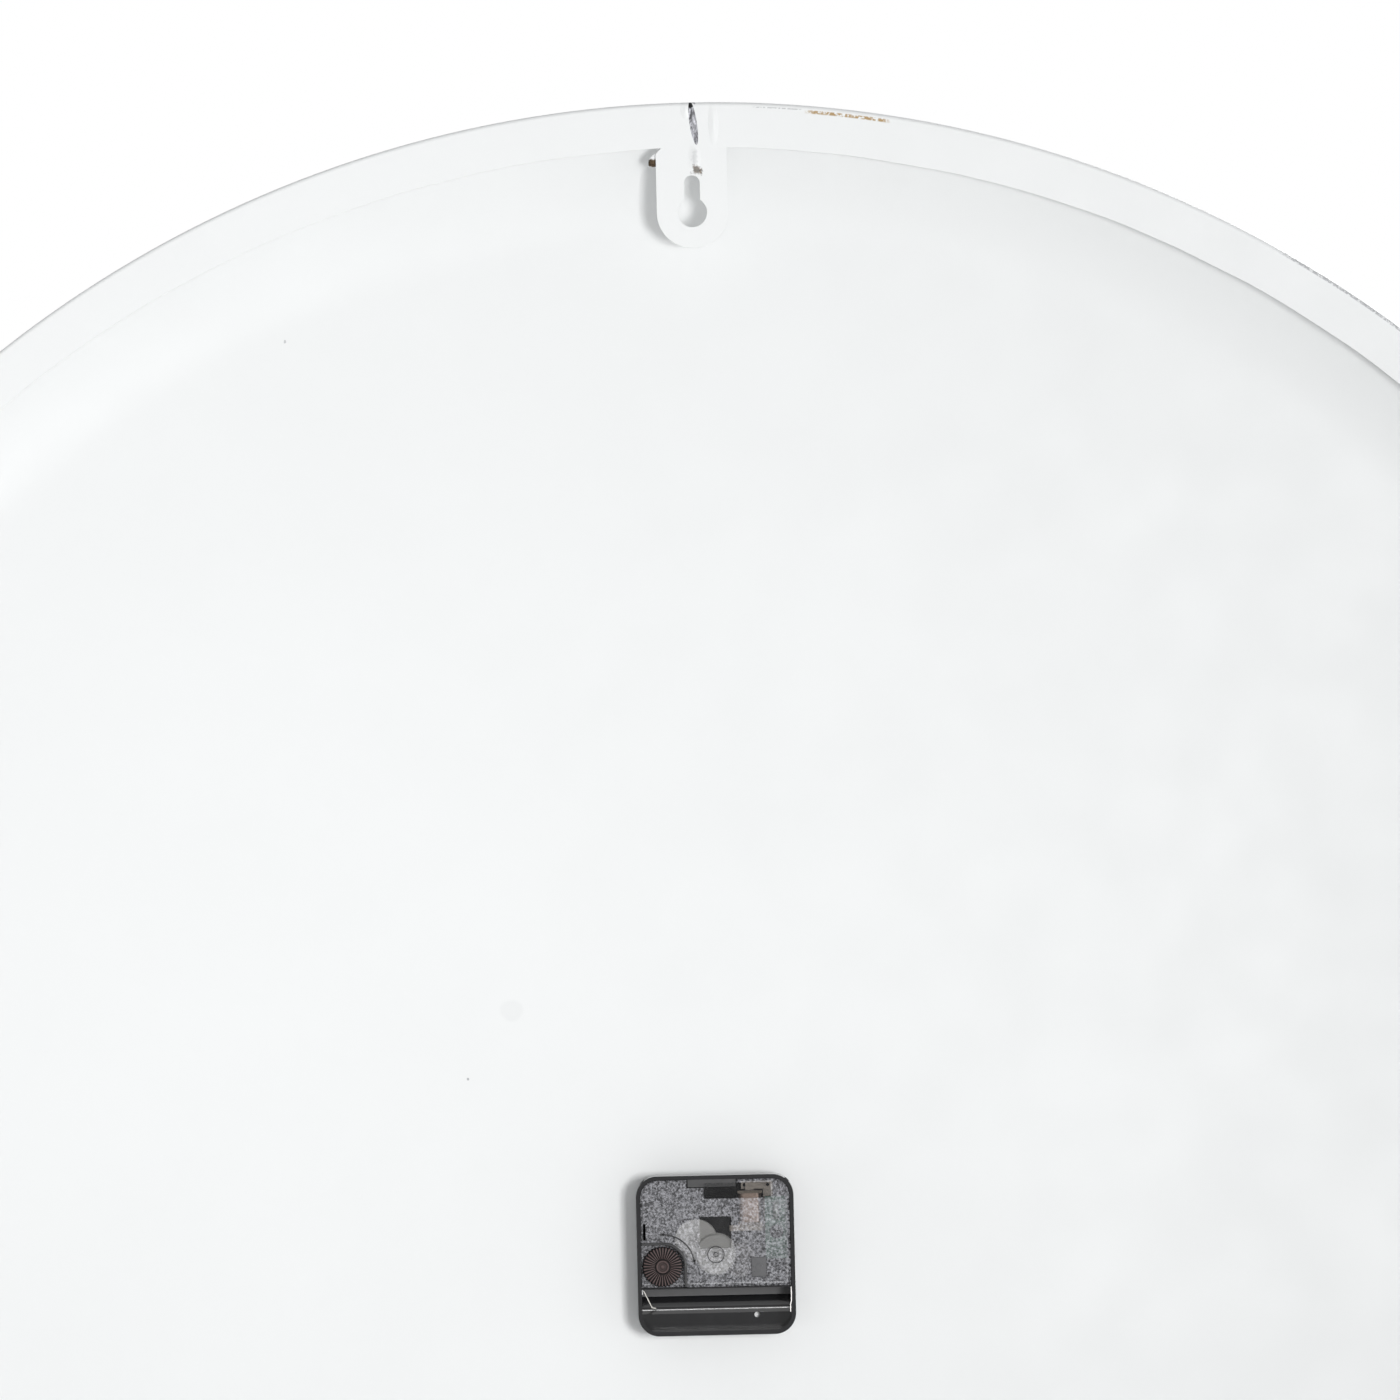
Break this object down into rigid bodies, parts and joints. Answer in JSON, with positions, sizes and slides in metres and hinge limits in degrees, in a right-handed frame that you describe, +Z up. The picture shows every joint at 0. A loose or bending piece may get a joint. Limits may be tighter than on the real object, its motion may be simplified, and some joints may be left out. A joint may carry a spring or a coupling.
{
  "type": "wall clock",
  "caption": "Large round wall clock with a white sheet-metal pan, keyhole hanger, black hands and a rear-mounted quartz movement with a setting knob and an AA battery bay.",
  "frame": {"origin": "centre of the keyhole's round entry, on the wall plane", "axes": "+Z up to twelve o'clock, +Y back into the wall, the dial faces -Y"},
  "size_m": [0.813, 0.0334, 0.813],
  "materials": {
    "white_enamel": "satin white stove enamel on sheet steel",
    "black_plastic": "black moulded plastic, glossy in the battery bay",
    "smoky_plastic": "translucent smoky plastic with a sparkling grain",
    "brown_plastic": "dark brown moulded plastic",
    "white_plastic": "natural white acetal",
    "black_rubber": "black rubber",
    "brass": "turned brass",
    "steel": "bright spring steel",
    "soft_iron": "bright soft iron",
    "magnet": "dark sintered magnet",
    "copper": "varnished copper wire",
    "green_board": "green circuit board",
    "hand_black": "black lacquered aluminium"
  },
  "bodies": {
    "clock_body": {"dial_pan": "white_enamel", "rear_ring": "white_enamel", "hanger_plate": "white_enamel", "hanger_strap": "white_enamel", "cushion_ring": "black_rubber", "movement_case": "black_plastic", "rear_cover": "smoky_plastic", "middle_plate": "black_plastic", "centre_bushing": "brass", "dial_washer": "brass", "mounting_nut": "brass", "stator": "soft_iron", "coil_core": "soft_iron", "coil_bobbin": "white_plastic", "coil_winding": "copper", "circuit_board": "green_board", "driver_chip": "black_plastic", "quartz_crystal": "steel", "positive_contact": "steel", "negative_lead": "steel"},
    "minute": {"minute_arbor": "brass", "minute_hand": "hand_black", "minute_hand_bush": "brass", "hand_nut": "brass"},
    "hour": {"hour_wheel": "white_plastic", "hour_hand": "hand_black", "hour_hand_bush": "brass"},
    "motion": {"motion_wheel": "white_plastic"},
    "setting": {"setting_arbor": "brown_plastic", "setting_knob": "brown_plastic"},
    "rotor": {"rotor_pinion": "white_plastic", "rotor_magnet": "magnet"},
    "fifth": {"fifth_wheel": "white_plastic"},
    "seconds": {"seconds_wheel": "white_plastic"},
    "third": {"third_wheel": "white_plastic"},
    "centre": {"centre_wheel": "white_plastic"},
    "leaf": {"negative_contact": "steel"}
  },
  "joints": [
    {"name": "minute_hand_turn", "type": "hinge", "parent": "clock_body", "child": "minute", "pos_m": [0, -0.0122, -0.3676], "axis": [0, 1, 0], "continuous": true},
    {"name": "hour_hand_turn", "type": "hinge", "parent": "clock_body", "child": "hour", "pos_m": [0, -0.0142, -0.3676], "axis": [0, 1, 0], "continuous": true},
    {"name": "motion_wheel_turn", "type": "hinge", "parent": "clock_body", "child": "motion", "pos_m": [0.01058, -0.0122, -0.36541], "axis": [0, 1, 0], "continuous": true},
    {"name": "setting_knob_turn", "type": "hinge", "parent": "clock_body", "child": "setting", "pos_m": [0.01891, -0.0049, -0.37155], "axis": [0, 1, 0], "continuous": true},
    {"name": "rotor_turn", "type": "hinge", "parent": "clock_body", "child": "rotor", "pos_m": [-0.0104, -0.01065, -0.36331], "axis": [0, 1, 0], "continuous": true},
    {"name": "fifth_wheel_turn", "type": "hinge", "parent": "clock_body", "child": "fifth", "pos_m": [-0.00807, -0.0064, -0.36992], "axis": [0, 1, 0], "continuous": true},
    {"name": "seconds_wheel_turn", "type": "hinge", "parent": "clock_body", "child": "seconds", "pos_m": [0, -0.0056, -0.3676], "axis": [0, 1, 0], "continuous": true},
    {"name": "third_wheel_turn", "type": "hinge", "parent": "clock_body", "child": "third", "pos_m": [0.0069, -0.0072, -0.3627], "axis": [0, 1, 0], "continuous": true},
    {"name": "centre_wheel_turn", "type": "hinge", "parent": "clock_body", "child": "centre", "pos_m": [0, -0.0088, -0.3676], "axis": [0, 1, 0], "continuous": true},
    {"name": "battery_leaf_flex", "type": "hinge", "parent": "clock_body", "child": "leaf", "pos_m": [0.02581, -0.0098, -0.37975], "axis": [0, -1, 0], "range_deg": [0, 27], "stiffness_Nm_per_rad": 0.02}
  ],
  "couplings": [
    {"joint": "hour_hand_turn", "follows": "minute_hand_turn", "ratio": 0.083333},
    {"joint": "motion_wheel_turn", "follows": "minute_hand_turn", "ratio": -0.33333},
    {"joint": "setting_knob_turn", "follows": "minute_hand_turn", "ratio": 1.2},
    {"joint": "fifth_wheel_turn", "follows": "rotor_turn", "ratio": -0.16667},
    {"joint": "seconds_wheel_turn", "follows": "rotor_turn", "ratio": 0.033333},
    {"joint": "third_wheel_turn", "follows": "rotor_turn", "ratio": -0.0041667},
    {"joint": "centre_wheel_turn", "follows": "rotor_turn", "ratio": 0.00055556}
  ]
}
